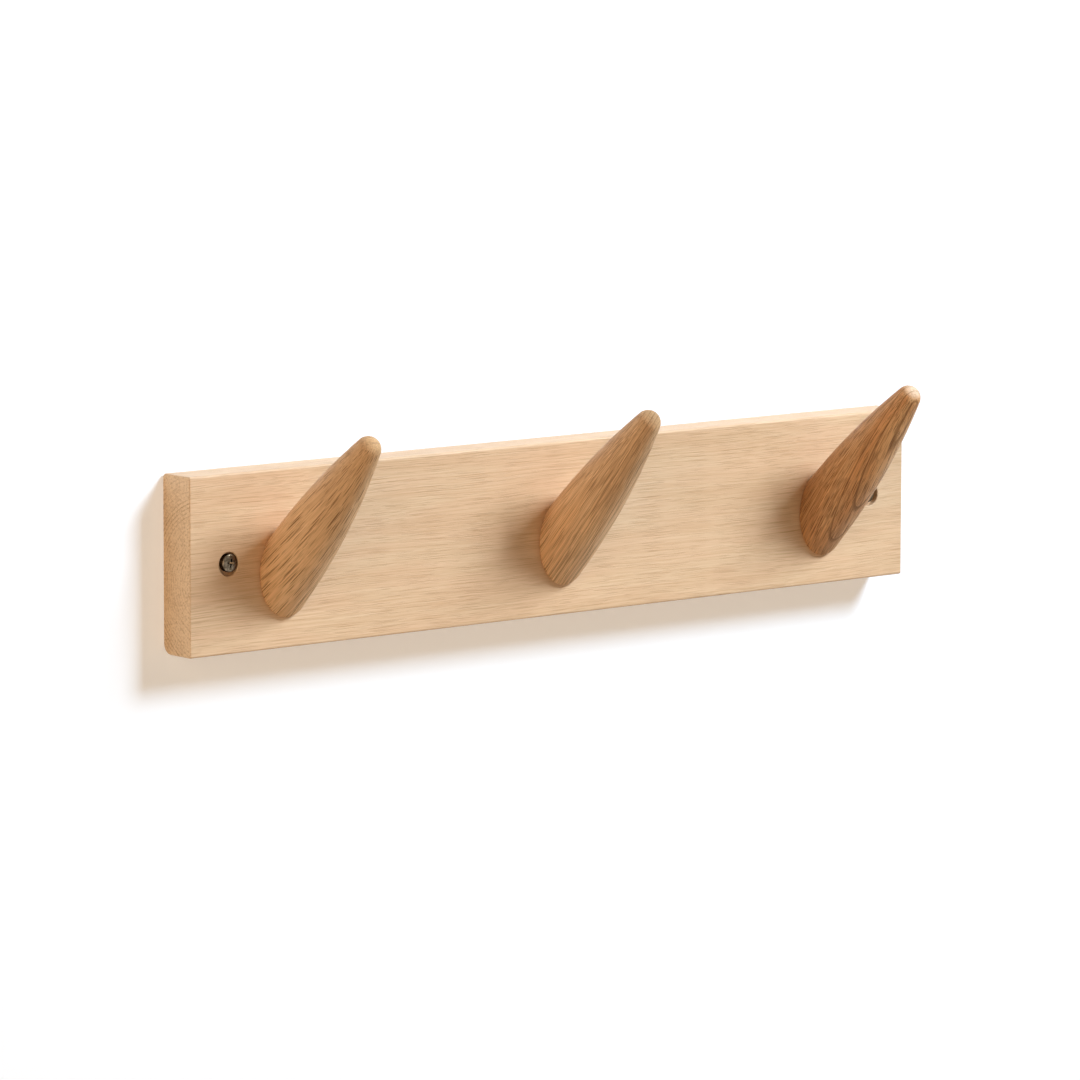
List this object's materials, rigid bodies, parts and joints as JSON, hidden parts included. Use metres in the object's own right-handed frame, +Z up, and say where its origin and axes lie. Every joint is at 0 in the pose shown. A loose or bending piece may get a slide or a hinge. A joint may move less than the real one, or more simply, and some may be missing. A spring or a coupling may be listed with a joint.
{
  "type": "wall hook rack",
  "caption": "Straight oak wall board with leaning turned pegs in a row for coats, screwed to the wall through counterbored holes near its ends.",
  "frame": {"origin": "middle of the board's back face, which lies on the wall", "axes": "+X along the board to the right as seen from the room, +Y into the wall, +Z up; the pegs stand out towards -Y and lean up"},
  "size_m": [0.48, 0.1258, 0.1121],
  "materials": {
    "oak_board": "matt lacquered oak, grain along the board",
    "oak_peg": "matt oiled oak, grain along the peg",
    "zinc_steel": "bright zinc-plated steel",
    "beech": "bare beech, fluted",
    "dark_steel": "dark bronze-coloured burnished steel"
  },
  "bodies": {
    "root": {"backboard": "oak_board", "peg_left": "oak_peg", "peg_centre": "oak_peg", "peg_right": "oak_peg", "peg_screw_left": "zinc_steel", "peg_screw_centre": "zinc_steel", "peg_screw_right": "zinc_steel", "peg_dowel_left": "beech", "peg_dowel_centre": "beech", "peg_dowel_right": "beech", "wall_screw_left": "dark_steel", "wall_screw_right": "dark_steel"}
  },
  "joints": []
}
